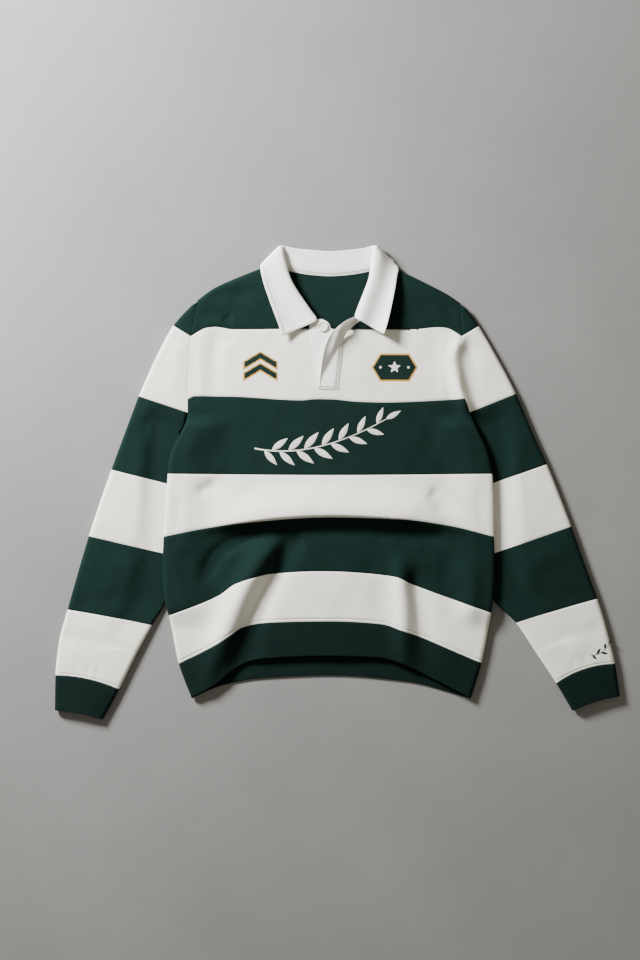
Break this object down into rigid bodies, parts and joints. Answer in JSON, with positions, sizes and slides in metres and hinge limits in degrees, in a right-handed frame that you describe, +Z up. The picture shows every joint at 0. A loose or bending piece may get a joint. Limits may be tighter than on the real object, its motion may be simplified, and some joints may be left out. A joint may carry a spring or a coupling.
{
  "type": "striped collared rugby sweatshirt laid flat",
  "caption": "Long-sleeved sweatshirt in wide dark green and cream stripes with a turned-down cream collar and half-open placket, laid flat on its back.",
  "frame": {"origin": "on the surface that the garment lies on, under the middle of its outline", "axes": "+Y towards the collar, +X to the viewer's right as seen from above, +Z up out of the surface, away from the back and through the front"},
  "size_m": [0.93, 0.7808, 0.0311],
  "materials": {
    "green_fleece": "heavy brushed-back fleece, fine smooth knit face, dark bottle green, soft sheen",
    "cream_fleece": "the same heavy fleece in off-white cream, matt",
    "green_rib": "close fine rib knit in the same green, at the hem and cuffs",
    "collar_twill": "firm woven cotton twill, a whiter cream, with edge stitching",
    "button_resin": "pale cream moulded resin, softly polished"
  },
  "bodies": {
    "root": {"front_yoke_l": "green_fleece", "front_yoke_r": "green_fleece", "front_cream_1": "cream_fleece", "front_green_2": "green_fleece", "front_cream_3": "cream_fleece", "front_green_4": "green_fleece", "front_cream_5": "cream_fleece", "back_cream_1": "cream_fleece", "back_green_2": "green_fleece", "back_cream_3": "cream_fleece", "back_green_4": "green_fleece", "back_cream_5": "cream_fleece", "back_yoke": "green_fleece", "hem_front": "green_rib", "hem_back": "green_rib", "sleeve_l_cap": "green_fleece", "sleeve_l_cream_1": "cream_fleece", "sleeve_l_green_2": "green_fleece", "sleeve_l_cream_3": "cream_fleece", "sleeve_l_green_4": "green_fleece", "sleeve_l_cream_5": "cream_fleece", "cuff_l": "green_rib", "sleeve_r_cap": "green_fleece", "sleeve_r_cream_1": "cream_fleece", "sleeve_r_green_2": "green_fleece", "sleeve_r_cream_3": "cream_fleece", "sleeve_r_green_4": "green_fleece", "sleeve_r_cream_5": "cream_fleece", "cuff_r": "green_rib", "collar_leaf": "collar_twill", "collar_stand": "collar_twill", "placket_under": "collar_twill", "placket_over": "collar_twill", "button": "button_resin"}
  },
  "joints": []
}
